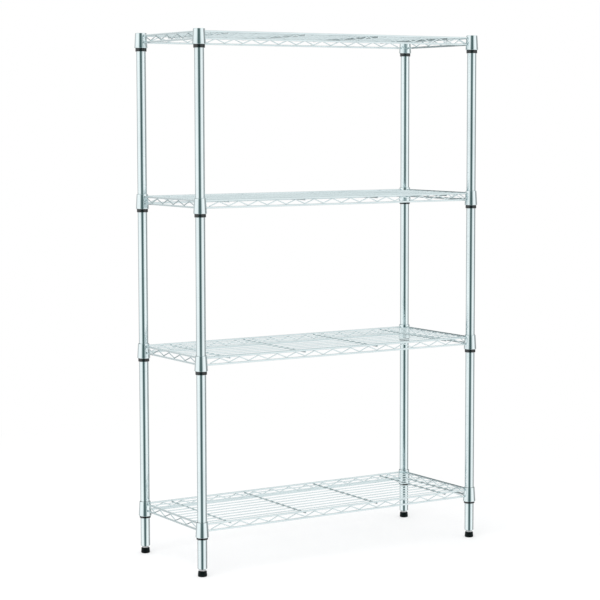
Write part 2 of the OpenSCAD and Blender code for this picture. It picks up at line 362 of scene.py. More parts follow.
def arc(centre: tuple, radius: float, start_deg: float, end_deg: float, steps: int) -> np.ndarray:
    """Points of a circular arc: centre plus radius times the cosine and sine of evenly spread angles.

    Args:
        centre: The arc's centre.
        radius: The arc's radius.
        start_deg: Angle of the first point.
        end_deg: Angle of the last point.
        steps: Number of steps between them.

    Returns:
        An array of steps + 1 points.
    """
    a = np.radians(np.linspace(start_deg, end_deg, steps + 1))
    return np.stack([centre[0] + radius * np.cos(a), centre[1] + radius * np.sin(a)], axis=1)


def about(centre: tuple, radius: np.ndarray, angle: np.ndarray, height: np.ndarray) -> np.ndarray:
    """Points round a vertical axis: centre plus radius times the cosine and sine of angle, and height.

    Args:
        centre: X and Y of the axis, and the height added to every point's.
        radius: Radius by row, or by row and column.
        angle: Angle by column.
        height: Height by row, as one column.

    Returns:
        Points as rows by columns by 3.
    """
    x, y, z = centre
    return np.stack([x + radius * np.cos(angle), y + radius * np.sin(angle), z + height + 0 * angle], axis=-1)


@dataclass
class Surface:
    """A mesh put together from grids of points, with a UV map in metres along and round each grid.

    Args:
        points: Grid points collected so far.
        faces: Faces collected so far, as rows of point numbers.
        uvs: UV corners of those faces.
        count: Number of points so far.
    """

    points: list = field(default_factory=list)
    faces: list = field(default_factory=list)
    uvs: list = field(default_factory=list)
    count: int = 0

    def grid(self, xyz: np.ndarray, close_rows: bool = False, close_columns: bool = True,
             cap_ends: bool = False) -> None:
        """Adds a grid of quads, whose normal is the column direction crossed with the row direction.

        Args:
            xyz: Points as rows by columns by 3.
            close_rows: Whether the last row joins the first.
            close_columns: Whether the last column joins the first.
            cap_ends: Whether the first and last row are each closed by one flat face.
        """
        rows, columns = xyz.shape[:2]
        i = np.arange(rows if close_rows else rows - 1)[:, None]
        j = np.arange(columns if close_columns else columns - 1)[None, :]
        at = lambda a, b: self.count + (a % rows) * columns + (b % columns)
        quads = np.stack(np.broadcast_arrays(at(i, j), at(i, j + 1), at(i + 1, j + 1), at(i + 1, j)), axis=-1)
        along = np.linalg.norm(np.diff(xyz[:, 0], axis=0, append=xyz[:1, 0]), axis=1)
        v = np.concatenate([[0.0], np.cumsum(along)])
        u = np.arange(columns + 1) / columns
        corner = lambda a, b: np.stack(np.broadcast_arrays(v[a], u[b]), axis=-1)
        uv = np.stack([corner(i, j), corner(i, j + 1), corner(i + 1, j + 1), corner(i + 1, j)], axis=2)
        self.points.append(xyz.reshape(-1, 3))
        self.faces += quads.reshape(-1, 4).tolist()
        self.uvs.append(uv.reshape(-1, 2))
        if cap_ends:
            ring = np.arange(columns)
            for loop in (self.count + ring[::-1], self.count + (rows - 1) * columns + ring):
                self.faces.append(loop.tolist())
                self.uvs.append(np.zeros((columns, 2)))
        self.count += rows * columns

    def revolve(self, profile: np.ndarray, centre: tuple, sides: int = 64, close_profile: bool = False,
                cap_ends: bool = False) -> None:
        """Turns a profile of radius and height round the vertical through centre.

        Point i, j is centre plus radius i times the cosine and sine of angle j, at height i. An outer
        wall's profile runs upwards.

        Args:
            profile: Rows of radius and height.
            centre: X and Y of the axis, and the height added to the profile's.
            sides: Steps round the axis.
            close_profile: Whether the profile's last point joins its first.
            cap_ends: Whether both ends of the profile are closed by a flat disc.
        """
        a = 2 * math.pi * np.arange(sides) / sides
        xyz = about(centre, profile[:, :1], a, profile[:, 1:])
        self.grid(xyz, close_rows=close_profile, cap_ends=cap_ends)

    def tube(self, path: np.ndarray, radii: np.ndarray, up: tuple, sides: int = 16) -> None:
        """Carries a circle along a path that stays square to one direction.

        Ring i is path point i plus its radius times the cosine of the angle along side, and the sine
        along up, where side is up crossed with the path's direction there, halved at each bend.

        Args:
            path: Rows of points.
            radii: The radius at each point.
            up: A direction square to the whole path.
            sides: Steps round the wire.
        """
        step = np.diff(path, axis=0)
        step /= np.linalg.norm(step, axis=1, keepdims=True)
        heading = np.concatenate([step[:1], step[:-1] + step[1:], step[-1:]])
        heading /= np.linalg.norm(heading, axis=1, keepdims=True)
        up = np.asarray(up, dtype=float)
        side = np.cross(up, heading)
        a = (2 * math.pi * np.arange(sides) / sides)[None, :, None]
        ring = np.cos(a) * side[:, None, :] + np.sin(a) * np.cross(heading, side)[:, None, :]
        self.grid(path[:, None, :] + radii[:, None, None] * ring, cap_ends=True)

    def bead(self, centre: np.ndarray, half: tuple, rings: int = 5, sides: int = 10) -> None:
        """Adds a weld's bead: a ball squashed to the half sizes, its poles cut by tiny flat caps.

        Point i, j is centre plus the half sizes times a unit ball's point at latitude i, longitude j.

        Args:
            centre: The bead's middle.
            half: Half its size along X, Y and Z.
            rings: Rows from pole to pole.
            sides: Steps round it.
        """
        latitude = np.linspace(-1.3, 1.3, rings)[:, None]
        a = 2 * math.pi * np.arange(sides) / sides
        unit = np.stack([np.cos(latitude) * np.cos(a), np.cos(latitude) * np.sin(a),
                         np.sin(latitude) + 0 * a], axis=-1)
        self.grid(np.asarray(centre) + unit * np.asarray(half), cap_ends=True)

    def finish(self, name: str, finish: Finish, slot: Slot, body: str, nodes: list[str],
               smooth_deg: float = 38.0) -> bpy.types.Object:
        """Makes the mesh object, shades it and ties it to the frame.

        Args:
            name: The piece's name.
            finish: Its surface finish.
            slot: The record's material slot. It is not used.
            body: The body that it rides on.
            nodes: The frame's nodes that it stands for.
            smooth_deg: Edges sharper than this stay crisp.

        Returns:
            The new object.
        """
        mesh = bpy.data.meshes.new(name)
        mesh.from_pydata(np.concatenate(self.points).tolist(), [], self.faces)
        layer = mesh.uv_layers.new(name="along_and_round")
        layer.data.foreach_set("uv", np.concatenate(self.uvs).astype(np.float32).ravel())
        mesh.shade_smooth()
        mesh.set_sharp_from_angle(angle=math.radians(smooth_deg))
        mesh.materials.append(finish.build())
        mesh.update()
        piece = bpy.data.objects.new(name, mesh)
        bpy.context.scene.collection.objects.link(piece)
        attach(piece, body)
        if nodes:
            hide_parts(*nodes)
        LOG.info("%s: %d faces on %s", name, len(mesh.polygons), body)
        return piece


def centre_of(corner: str) -> tuple[float, float]:
    """X and Y of the centre line of the post at a corner."""
    low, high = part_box(f"post_{corner}")
    return (low.x + high.x) / 2, (low.y + high.y) / 2


# Sub-assemblies


@dataclass
class GroovedPost:
    """Chrome tube with a rolled groove at every pitch, and the plug in its upper end.

    Args:
        corner: Which corner it stands at.
        groove_pitch: Distance between grooves.
        groove_w: Width of a groove at the surface.
        groove_depth: Depth of a groove.
        wall: Thickness of the tube.
        lip_r: Radius of the tube's rounded upper edge.
        roll_r: Radius over which the lower end is rolled in.
        sides: Steps round the tube.
    """

    corner: str
    groove_pitch: float = 25.4 * MM
    groove_w: float = 1.4 * MM
    groove_depth: float = 0.12 * MM
    wall: float = 1.2 * MM
    lip_r: float = 0.35 * MM
    roll_r: float = 2.0 * MM
    sides: int = 56

    def build(self) -> None:
        """Builds the tube and its top plug."""
        name = f"post_{self.corner}"
        low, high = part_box(name)
        r = (high.x - low.x) / 2
        length = high.z - low.z
        x, y = centre_of(self.corner)
        tube = Surface()
        tube.revolve(self.profile(r, length), (x, y, low.z), self.sides, close_profile=True)
        tube.finish(f"tube_{self.corner}", POST_FINISH, Slot.POST, "frame", [name])
        self.plug(x, y)

    def profile(self, r: float, length: float) -> np.ndarray:
        """Rolled-in end, outer wall upwards with its grooves, round the top lip, and the bore downwards.

        A groove's depth at height y from its middle is half the depth times one plus the cosine of
        pi y over the half width.

        Args:
            r: The tube's outer radius.
            length: The tube's length.

        Returns:
            Rows of radius and height, as one closed profile.
        """
        lip = self.lip_r
        w = self.groove_w / 2
        grooves = round(length / self.groove_pitch) - 1
        offset = np.array([-1.35, -1.0, -0.66, -0.33, 0.0, 0.33, 0.66, 1.0, 1.35])
        depth = np.where(np.abs(offset) < 1, (1 + np.cos(np.pi * offset)) / 2, 0.0) * self.groove_depth
        middle = self.groove_pitch * np.arange(1, grooves + 1)[:, None]
        rows = np.stack([np.broadcast_to(r - depth, (grooves, offset.size)), middle + offset * w], axis=-1)
        bore = r - self.wall
        roll = (r - self.roll_r, self.roll_r)
        foot = arc(roll, self.roll_r, -90, 0, 10)
        inside = arc(roll, self.roll_r - self.wall, 0, -90, 6)
        head = arc((r - lip, length - lip), lip, 0, 90, 4)
        support = 4 * lip
        return np.concatenate([
            foot, [[r, self.roll_r + support]], rows.reshape(-1, 2), [[r, length - support]], head,
            [[bore + lip / 2, length], [bore, length - lip / 2], [bore, length - support],
             [bore, self.roll_r + support]], inside,
        ])

    def plug(self, x: float, y: float) -> None:
        """Builds the domed plug: a skirt, a turned rim and a shallow dome with a moulded dimple.

        The dome's height falls from the rim's by its own height times the square of the share of the
        radius.

        Args:
            x: X of the post's centre line.
            y: Y of the post's centre line.
        """
        node = f"cap_{self.corner}"
        low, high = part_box(node)
        r = (high.x - low.x) / 2
        top = high.z - low.z
        rim = 0.45 * MM
        sink = np.linspace(0.94, 0.06, 12)[:, None]
        dome_h = 0.9 * MM
        dome = np.concatenate([r * sink, top - dome_h * sink**2], axis=1)
        dome[-3:, 1] -= np.array([0.1, 0.3, 0.4]) * MM
        profile = np.concatenate([
            [[r - rim, 0.0], [r, rim], [r, 3 * rim], [r, top - dome_h - 3 * rim]],
            arc((r - rim, top - dome_h - rim), rim, 0, 80, 4), dome,
        ])
        cap = Surface()
        cap.revolve(profile, (x, y, low.z), 48, cap_ends=True)
        cap.finish(f"top_plug_{self.corner}", PLASTIC_FINISH, Slot.PLASTIC, "frame", [node])


@dataclass
class ScrewFoot:
    """Flared black pad with grip flats, on a threaded screw with a hexagon.

    Args:
        corner: Which corner it stands at.
        flats_w: Distance across the six grip flats.
        skirt_h: Height of the round skirt below the flats.
        edge_r: Radius of the pad's lower edge.
        top_r: Radius of the pad's upper end.
        stem_r: Radius of the screw.
        hex_w: Distance across the flats of the screw's hexagon.
        hex_h: Height of the hexagon.
        hex_gap: Gap between the hexagon and the pad.
        pitch: Pitch of the thread.
        thread_depth: Depth of the thread.
        bevel_start: Radius of the hexagon's bevel at its ends, as a share of half its width.
        bevel_slope: Growth of the bevel's radius by height.
        sides: Steps round the pad.
        stem_sides: Steps round the thread.
        rows_per_turn: Rows of the thread in one turn.
        hex_sides: Steps round the hexagon.
    """

    corner: str
    flats_w: float = 21.4 * MM
    skirt_h: float = 7.0 * MM
    edge_r: float = 3.0 * MM
    top_r: float = 11.3 * MM
    stem_r: float = 4.9 * MM
    hex_w: float = 17.0 * MM
    hex_h: float = 4.8 * MM
    hex_gap: float = 0.3 * MM
    pitch: float = 1.5 * MM
    thread_depth: float = 0.55 * MM
    bevel_start: float = 0.96
    bevel_slope: float = 1.8
    sides: int = 96
    stem_sides: int = 32
    rows_per_turn: int = 8
    hex_sides: int = 72

    def build(self) -> None:
        """Builds the pad and its screw."""
        self.pad()
        self.screw()

    def pad(self) -> None:
        """Builds the pad: a turned flare whose radius is cut back to a rounded hexagon above the skirt.

        The hexagon's radius at angle a is half the flats' width over the cosine of the angle from the
        nearest flat's middle, and the surface keeps the smaller of it and the turned radius.
        """
        node = f"pad_{self.corner}"
        low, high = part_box(node)
        x, y = centre_of(self.corner)
        skirt_r = (high.x - low.x) / 2
        top = high.z
        a = 2 * math.pi * np.arange(self.sides) / self.sides
        shoulder = 1.0 * MM
        slope = (skirt_r - self.top_r) / (top - 2 * shoulder - self.edge_r)
        flare = np.linspace(self.edge_r, self.skirt_h + shoulder, 6)[1:, None]
        turned = np.concatenate([
            [[0.5 * MM, 0.0], [skirt_r * 0.5, 0.0]],
            arc((skirt_r - self.edge_r, self.edge_r), self.edge_r, -90, 0, 9),
            np.concatenate([skirt_r - slope * (flare - self.edge_r), flare], axis=1),
            [[self.top_r, top - 2 * shoulder]],
            arc((self.top_r - shoulder, top - shoulder), shoulder, 0, 90, 5),
            [[self.top_r * 0.55, top], [self.top_r * 0.5, top - 0.4 * MM], [0.5 * MM, top - 0.4 * MM]],
        ])
        r, z = turned[:, :1], turned[:, 1:]
        flat_r = self.hexagon(a, self.flats_w, 0.0)
        cut = np.clip((z - self.skirt_h) / (0.8 * MM), 0.0, 1.0)
        radius = np.where(cut > 0, np.minimum(r, r * (1 - cut) + flat_r * cut), r + 0 * a)
        pad = Surface()
        pad.grid(about((x, y, 0.0), radius, a, z), cap_ends=True)
        pad.finish(f"foot_pad_{self.corner}", PLASTIC_FINISH, Slot.PLASTIC, node, [node], CRISP_DEG)

    def hexagon(self, a: np.ndarray, across: float, turn: float) -> np.ndarray:
        """Returns a hexagon's radius at each angle: half its width across the flats, over the cosine
        of the angle from the middle of the nearest flat."""
        return across / 2 / np.cos((a - turn + math.pi / 6) % (math.pi / 3) - math.pi / 6)

    def screw(self) -> None:
        """Builds the screw's thread and its hexagon.

        At height z and angle a the thread's radius dips by its depth times a rounded wave of z over
        the pitch less a over a full turn, fading out at both ends. The hexagon's radius is the smaller
        of the true hexagon's and a cone's that bevels its corners at both ends.
        """
        node = f"screw_{self.corner}"
        low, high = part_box(node)
        x, y = centre_of(self.corner)
        length = high.z - low.z
        rows = int(length / self.pitch * self.rows_per_turn)
        a = 2 * math.pi * np.arange(self.stem_sides) / self.stem_sides
        z = np.linspace(0.0, length, rows)[:, None]
        wave = (1 + np.cos(2 * math.pi * z / self.pitch - a)) / 2
        fade = np.clip(np.minimum(z, length - z) / self.pitch, 0.0, 1.0)
        radius = self.stem_r - self.thread_depth * wave * fade - (1 - fade) * 0.5 * MM
        screw = Surface()
        screw.grid(about((x, y, low.z), radius, a, z), cap_ends=True)
        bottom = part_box(f"pad_{self.corner}")[1].z + self.hex_gap
        a = 2 * math.pi * np.arange(self.hex_sides) / self.hex_sides
        z = np.array([0.0, 0.15, 0.5, 1.0, 2.4, 3.8, 4.3, 4.65, 4.8])[:, None] / 4.8 * self.hex_h
        cone = self.hex_w / 2 * self.bevel_start + self.bevel_slope * np.minimum(z, self.hex_h - z)
        radius = np.minimum(self.hexagon(a, self.hex_w, math.pi / 6), cone)
        screw.grid(about((x, y, bottom), radius, a, z), cap_ends=True)
        body = f"screw_{self.corner}"
        screw.finish(f"foot_screw_{self.corner}", STEEL_FINISH, Slot.STEEL, body, [node], CRISP_DEG)


@dataclass
class SplitSleeves:
    """The four split sleeves of a tier, as left halves and right halves.

    Args:
        tier: Number of the shelf that they carry, from the floor up.
        lip_h: Height of the straight lip.
        bore_r: Radius of the sleeve's bore.
        top_r: Outer radius at the upper end of the taper.
        seam_w: Width of the open seam between the halves.
        edge_r: Radius of the lip's lower edge.
        steps: Steps round a half.
    """

    tier: int
    lip_h: float = 9.0 * MM
    bore_r: float = 12.8 * MM
    top_r: float = 13.805 * MM
    seam_w: float = 0.8 * MM
    edge_r: float = 0.8 * MM
    steps: int = 30

    def build(self) -> None:
        """Builds both halves of the tier's sleeves."""
        for side, turn in (("left", 90.0), ("right", -90.0)):
            node = f"sleeves_{self.tier}_{side}_halves"
            low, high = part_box(node)
            halves = Surface()
            for corner in CORNERS:
                self.half(halves, centre_of(corner), low.z, high.z - low.z, turn)
            name = f"split_sleeves_{self.tier}_{side}"
            halves.finish(name, SLEEVE_FINISH, Slot.PLASTIC, "frame", [node], CRISP_DEG)

    def half(self, halves: Surface, centre: tuple, z: float, height: float, turn_deg: float) -> None:
        """Adds one half: the closed profile turned through just under half a turn, its ends capped.

        Args:
            halves: The surface that gets it.
            centre: X and Y of the post's centre line.
            z: Height of the sleeve's lower end.
            height: The sleeve's height.
            turn_deg: The way that the half's first seam faces.
        """
        tier_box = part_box(f"sleeves_{self.tier}_left_halves")
        lip_r = centre_of("front_left")[0] - tier_box[0].x
        e = self.edge_r
        profile = np.concatenate([
            [[self.bore_r + 0.2 * MM, 0.0]],
            arc((lip_r - e, e), e, -90, 0, 5),
            [[lip_r, 2 * e], [lip_r, self.lip_h - 0.4 * MM], [lip_r - 0.02 * MM, self.lip_h],
             [lip_r - 0.06 * MM, self.lip_h + e], [self.top_r + 0.05 * MM, height - 1.2 * MM],
             [self.top_r, height - 0.3 * MM], [self.top_r - 0.3 * MM, height],
             [self.bore_r + 0.15 * MM, height], [self.bore_r, height - 0.2 * MM], [self.bore_r, 0.3 * MM]],
        ])
        seam = math.asin(self.seam_w / 2 / self.bore_r)
        a = math.radians(turn_deg) + np.linspace(seam, math.pi - seam, self.steps + 1)
        rows, columns = len(profile), len(a)
        start = halves.count + np.arange(rows) * columns
        xyz = about((*centre, z), profile[:, :1], a, profile[:, 1:])
        halves.grid(xyz, close_rows=True, close_columns=False)
        for loop in (start[::-1], start + columns - 1):
            halves.faces.append(loop.tolist())
            halves.uvs.append(np.zeros((rows, 2)))


@dataclass
class WireShelf:
    """One welded shelf: collars, rims, zigzags, surface wires, cross wires and their welds.

    Args:
        tier: Number of the shelf, from the floor up.
        rim_d: Diameter of the rim wires.
        deck_d: Diameter of the surface wires.
        cross_d: Diameter of the cross wires.
        zigzag_d: Diameter of the zigzag wires.
        bend_r: Radius of the zigzag's bends on the wire's centre line.
        deck_count: Number of surface wires.
        cross_count: Number of cross wires.
        collar_bottom_r: Outer radius of a collar at its lower end.
        collar_top_r: Outer radius of a collar at its upper end.
        bore_bottom_r: Radius of a collar's bore at its lower end.
        bore_top_r: Radius of a collar's bore at its upper end.
        edge_r: Radius of a collar's turned-in lower edge.
        weld_sink: Depth that wires melt into each other.
        collar_sink: Depth that the rims reach into the collars.
        cut_bevel: Bevel at the hidden ends of rims and surface wires.
        sheared_bevel: Bevel at the cross wires' free ends.
        stroke_run: Usual length of a zigzag's stroke along its side.
        crossing_bead: Half sizes of the bead where a surface wire lies on a cross wire.
        rim_bead: Half sizes of the bead where a cross wire passes under a long rim.
        end_bead: Half sizes of the bead at a surface wire's end.
        bend_bead: Half the length, width and height of the bead where a zigzag's bend meets a rim.

    It also keeps the posts' centre lines: x0 and x1 left and right, y0 and y1 front and back.
    """

    tier: int
    rim_d: float = 5.0 * MM
    deck_d: float = 2.8 * MM
    cross_d: float = 4.0 * MM
    zigzag_d: float = 2.8 * MM
    bend_r: float = 4.0 * MM
    deck_count: int = 10
    cross_count: int = 4
    collar_bottom_r: float = 17.5 * MM
    collar_top_r: float = 15.2 * MM
    bore_bottom_r: float = 15.4 * MM
    bore_top_r: float = 14.0 * MM
    edge_r: float = 1.6 * MM
    weld_sink: float = 0.3 * MM
    collar_sink: float = 0.5 * MM
    cut_bevel: float = 0.1 * MM
    sheared_bevel: float = 0.35 * MM
    stroke_run: float = 29.0 * MM
    crossing_bead: tuple = (1.9 * MM, 1.5 * MM, 0.55 * MM)
    rim_bead: tuple = (2.3 * MM, 2.1 * MM, 0.6 * MM)
    end_bead: tuple = (0.7 * MM, 1.75 * MM, 1.65 * MM)
    bend_bead: tuple = (2.4 * MM, 1.35 * MM, 0.5 * MM)
    x0: float = field(init=False)
    x1: float = field(init=False)
    y0: float = field(init=False)
    y1: float = field(init=False)

    def __post_init__(self) -> None:
        """Takes the posts' centre lines from the frame."""
        self.x0, self.y0 = centre_of("front_left")
        self.x1, self.y1 = centre_of("back_right")

    def build(self) -> None:
        """Builds every piece of the shelf."""
        self.rims("top_rims")
        self.rims("bottom_rims")
        self.collars()
        self.deck_wires()
        self.cross_wires()
        self.zigzags()
        self.welds()

    def node(self, kind: str) -> str:
        """Name of one of this shelf's nodes."""
        return f"shelf_{self.tier}_{kind}"

    def level(self, kind: str) -> float:
        """Height of the middle of one of this shelf's nodes."""
        low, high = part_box(self.node(kind))
        return (low.z + high.z) / 2

    def collar_r(self, z: float) -> float:
        """Outer radius of the collars' cone at a height.

        Args:
            z: The height, from the floor.

        Returns:
            The radius there.
        """
        low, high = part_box(self.node("collars"))
        share = (z - low.z) / (high.z - low.z)
        return self.collar_bottom_r + (self.collar_top_r - self.collar_bottom_r) * share

    def make(self, surface: Surface, kind: str, finish: Finish = WIRE_FINISH, slot: Slot = Slot.WIRE) -> None:
        """Ties a finished surface to this shelf's body and node."""
        surface.finish(self.node(kind) + "_dressed", finish, slot, f"shelf_{self.tier}", [self.node(kind)])

    def collars(self) -> None:
        """Builds the four collars: a tapered wall with a rolled shoulder, a turned-in lower edge and a
        tapered bore, as one closed profile turned round each post."""
        low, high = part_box(self.node("collars"))
        h = high.z - low.z
        e = self.edge_r
        slope = (self.collar_top_r - self.collar_bottom_r) / h
        outer = lambda y: self.collar_bottom_r + slope * y
        shoulder = 0.8 * MM
        profile = np.concatenate([
            [[self.bore_bottom_r + 0.3 * MM, 0.0]],
            arc((outer(0) - e, e), e, -90, 0, 9),
            [[outer(e * 2), e * 2], [outer(h / 2), h / 2], [outer(h - 3 * shoulder), h - 3 * shoulder]],
            arc((outer(h) - shoulder, h - shoulder), shoulder, 0, 90, 6),
            [[self.bore_top_r + 0.2 * MM, h], [self.bore_top_r, h - 0.2 * MM], [self.bore_top_r, h - 1 * MM],
             [self.bore_bottom_r, 1 * MM], [self.bore_bottom_r, 0.3 * MM]],
        ])
        collars = Surface()
        for corner in CORNERS:
            collars.revolve(profile, (*centre_of(corner), low.z), 64, close_profile=True)
        self.make(collars, "collars", COLLAR_FINISH, Slot.COLLAR)

    def straight(self, wires: Surface, start: tuple, end: tuple, d: float, bevel: float) -> None:
        """Adds a straight wire with bevelled ends and support rings beside the bevels.

        Args:
            wires: The surface that gets it.
            start: Middle of its first end.
            end: Middle of its last end.
            d: The wire's diameter.
            bevel: Size of the bevels.
        """
        start, end = np.array(start), np.array(end)
        length = np.linalg.norm(end - start)
        near = np.array([0.0, bevel, 3 * bevel, length / 2])
        share = np.concatenate([near, length - near[2::-1]]) / length
        radii = np.full(share.size, d / 2)
        radii[[0, -1]] -= bevel
        wires.tube(start + (end - start) * share[:, None], radii, (0, 0, 1))

    def rims(self, kind: str) -> None:
        """Builds the rim wires of one height, from collar to collar on every side.

        Args:
            kind: The rims' part of their node's name.
        """
        z = self.level(kind)
        seat = self.collar_r(z) - self.collar_sink
        wires = Surface()
        for y in (self.y0, self.y1):
            self.straight(wires, (self.x0 + seat, y, z), (self.x1 - seat, y, z), self.rim_d, self.cut_bevel)
        for x in (self.x0, self.x1):
            self.straight(wires, (x, self.y0 + seat, z), (x, self.y1 - seat, z), self.rim_d, self.cut_bevel)
        self.make(wires, kind)

    def deck_wires(self) -> None:
        """Builds the surface wires, evenly spread between the front and back rims."""
        z = self.level("deck_wires")
        inset = self.rim_d / 2 - self.weld_sink
        wires = Surface()
        for y in self.deck_rows():
            start, end = (self.x0 + inset, y, z), (self.x1 - inset, y, z)
            self.straight(wires, start, end, self.deck_d, self.cut_bevel)
        self.make(wires, "deck_wires")

    def deck_rows(self) -> np.ndarray:
        """Y of each surface wire."""
        return np.linspace(self.y0, self.y1, self.deck_count + 2)[1:-1]

    def cross_columns(self) -> np.ndarray:
        """Spreads the cross wires evenly between the ends of their node's box.

        Returns:
            X of each cross wire.
        """
        low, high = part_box(self.node("cross_wires"))
        r = self.cross_d / 2
        return np.linspace(low.x + r, high.x - r, self.cross_count)

    def cross_wires(self) -> None:
        """Builds the cross wires with their sheared, slightly bevelled ends."""
        low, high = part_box(self.node("cross_wires"))
        z = self.level("cross_wires")
        wires = Surface()
        for x in self.cross_columns():
            self.straight(wires, (x, low.y, z), (x, high.y, z), self.cross_d, self.sheared_bevel)
        self.make(wires, "cross_wires")

    def zigzag_plans(self) -> list[tuple[str, int, tuple[float, float], float, float, int]]:
        """Works out the runs of the long and of the short zigzags.

        Returns:
            Of each kind its name, the axis it runs along, the places of its two sides on the other
            axis, its start and end, and its number of strokes.
        """
        plans = []
        for kind, axis, places in (
            ("long_zigzags", 0, (self.y0, self.y1)), ("short_zigzags", 1, (self.x0, self.x1)),
        ):
            low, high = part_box(self.node(kind))
            strokes = round((high[axis] - low[axis]) / self.stroke_run)
            plans.append((kind, axis, places, low[axis], high[axis], strokes))
        return plans

    def zigzag_path(self, start: float, end: float, strokes: int, low_z: float, rise: float) -> np.ndarray:
        """Centre line of a zigzag in its own plane.

        Bends are arcs of the bend radius, centred above each valley and below each peak, and the
        strokes between them touch both arcs: their slope is the slope between the centres plus the
        angle whose sine is twice the radius over the distance between the centres.

        Args:
            start: Where it starts along its side.
            end: Where it ends.
            strokes: Number of strokes.
            low_z: Lowest height of the centre line.
            rise: Its rise from valley to peak.

        Returns:
            Rows of distance along the side and height.
        """
        run = (end - start) / strokes
        climb = rise - 2 * self.bend_r
        tilt = math.atan2(climb, run) + math.asin(2 * self.bend_r / math.hypot(run, climb))
        bend = np.arange(strokes + 1)[:, None]
        side = np.where(bend % 2 == 0, 1.0, -1.0)
        t = np.linspace(0.0, 1.0, 9)[None, :]
        arrive = np.where(bend == 0, 0.0, -side * tilt)
        leave = np.where(bend == strokes, 0.0, side * tilt)
        heading = arrive + (leave - arrive) * t
        along = start + bend * run + side * self.bend_r * np.sin(heading)
        centre_z = np.where(side > 0, self.bend_r, rise - self.bend_r)
        height = low_z + centre_z - side * self.bend_r * np.cos(heading)
        return np.stack([along.ravel(), height.ravel()], axis=1)

    def zigzags(self) -> None:
        """Builds the long and the short zigzags of the four sides."""
        low_z, rise = self.zigzag_band()
        for kind, axis, places, start, end, strokes in self.zigzag_plans():
            path = self.zigzag_path(start, end, strokes, low_z, rise)
            wires = Surface()
            for place in places:
                xyz = np.zeros((len(path), 3))
                xyz[:, axis], xyz[:, 1 - axis], xyz[:, 2] = path[:, 0], place, path[:, 1]
                up = (0.0, 1.0, 0.0) if axis == 0 else (1.0, 0.0, 0.0)
                wires.tube(xyz, np.full(len(xyz), self.zigzag_d / 2), up, 14)
            self.make(wires, kind)

    def zigzag_band(self) -> tuple[float, float]:
        """Fits the zigzags between the bottom and the top rims, sunk into both by the weld.

        Returns:
            Lowest height of their centre line, and its rise from valley to peak.
        """
        low_z = self.level("bottom_rims") + (self.rim_d + self.zigzag_d) / 2 - self.weld_sink
        high_z = self.level("top_rims") - (self.rim_d + self.zigzag_d) / 2 + self.weld_sink
        return low_z, high_z - low_z

    def welds(self) -> None:
        """Builds the weld beads: where wires cross, where zigzags touch rims and where wires end."""
        beads = Surface()
        cross_top = self.level("cross_wires") + self.cross_d / 2 - 0.1 * MM
        for x in self.cross_columns():
            for y in self.deck_rows():
                beads.bead((x, y, cross_top), self.crossing_bead)
            for y in (self.y0, self.y1):
                beads.bead((x, y, cross_top), self.rim_bead)
        deck_z = self.level("deck_wires")
        reach = self.rim_d / 2 + 0.25 * MM
        for y in self.deck_rows():
            for x in (self.x0 + reach, self.x1 - reach):
                beads.bead((x, y, deck_z), self.end_bead)
        self.rim_welds(beads)
        self.zigzag_welds(beads)
        beads.finish(f"weld_beads_{self.tier}", WELD_FINISH, Slot.WIRE, f"shelf_{self.tier}", [])

    def rim_welds(self, beads: Surface) -> None:
        """Adds the rings of weld where the rims meet the collars.

        Args:
            beads: The surface that gets them.
        """
        for kind in ("top_rims", "bottom_rims"):
            z = self.level(kind)
            seat = self.collar_r(z) + 0.1 * MM
            wide, thin = self.rim_d / 2 + 0.45 * MM, 0.8 * MM
            for x, to_x in ((self.x0, 1), (self.x1, -1)):
                for y, to_y in ((self.y0, 1), (self.y1, -1)):
                    beads.bead((x + to_x * seat, y, z), (thin, wide, wide), 7, 16)
                    beads.bead((x, y + to_y * seat, z), (wide, thin, wide), 7, 16)

    def zigzag_welds(self, beads: Surface) -> None:
        """Adds the small beads where the zigzags' peaks and valleys touch the rims.

        Args:
            beads: The surface that gets them.
        """
        low_z, rise = self.zigzag_band()
        half_wire = self.zigzag_d / 2
        for kind, axis, places, start, end, strokes in self.zigzag_plans():
            for bend in range(strokes + 1):
                along = start + (end - start) * bend / strokes
                z = low_z - half_wire if bend % 2 == 0 else low_z + rise + half_wire
                for place in places:
                    spot = [place, place, z]
                    spot[axis] = along
                    long, wide, high = self.bend_bead
                    beads.bead(spot, (wide, long, high) if axis else (long, wide, high))


# Brightness of the studio's walls by bearing, in degrees to the right of the camera's side
WALLS = (
    (-180, 0.48), (-140, 0.50), (-116, 0.68), (-103, 1.0), (-92, 1.04), (-45, 1.06), (45, 1.04), (80, 1.08),
    (91, 1.02), (98, 0.20), (108, 0.20), (121, 0.48), (145, 0.48), (168, 0.56), (180, 0.48),
)
# What is left of it beside the camera, where a dark gap runs from floor to ceiling
GAP = (
    (-42, (1.0, 1.0, 1.0)), (-30, (0.55, 0.60, 0.60)), (-19, (0.18, 0.24, 0.24)), (-5, (0.05, 0.09, 0.09)),
    (5, (0.05, 0.09, 0.09)), (19, (0.18, 0.24, 0.24)), (30, (0.55, 0.60, 0.60)), (42, (1.0, 1.0, 1.0)),
)
# Colours above and below the walls, by how squarely a direction points to the back of the room
CEILING = (
    (0.55, (0.86, 0.90, 0.90)), (0.74, (0.05, 0.085, 0.09)),
    (0.83, (0.05, 0.085, 0.09)), (0.868, (0.90, 0.94, 0.94)),
)
GROUND = (
    (0.55, (0.90, 0.93, 0.93)), (0.74, (0.06, 0.10, 0.105)),
    (0.83, (0.06, 0.10, 0.105)), (0.868, (0.92, 0.96, 0.96)),
)

# Ramps stop at 1, so the brightness is divided by this in them and multiplied by it after them
HEADROOM = 2.0
# How far up or down a direction points where the walls give way to ceiling and floor
CEILING_EDGE = (0.15, 0.36)
GROUND_EDGE = (-0.27, -0.44)


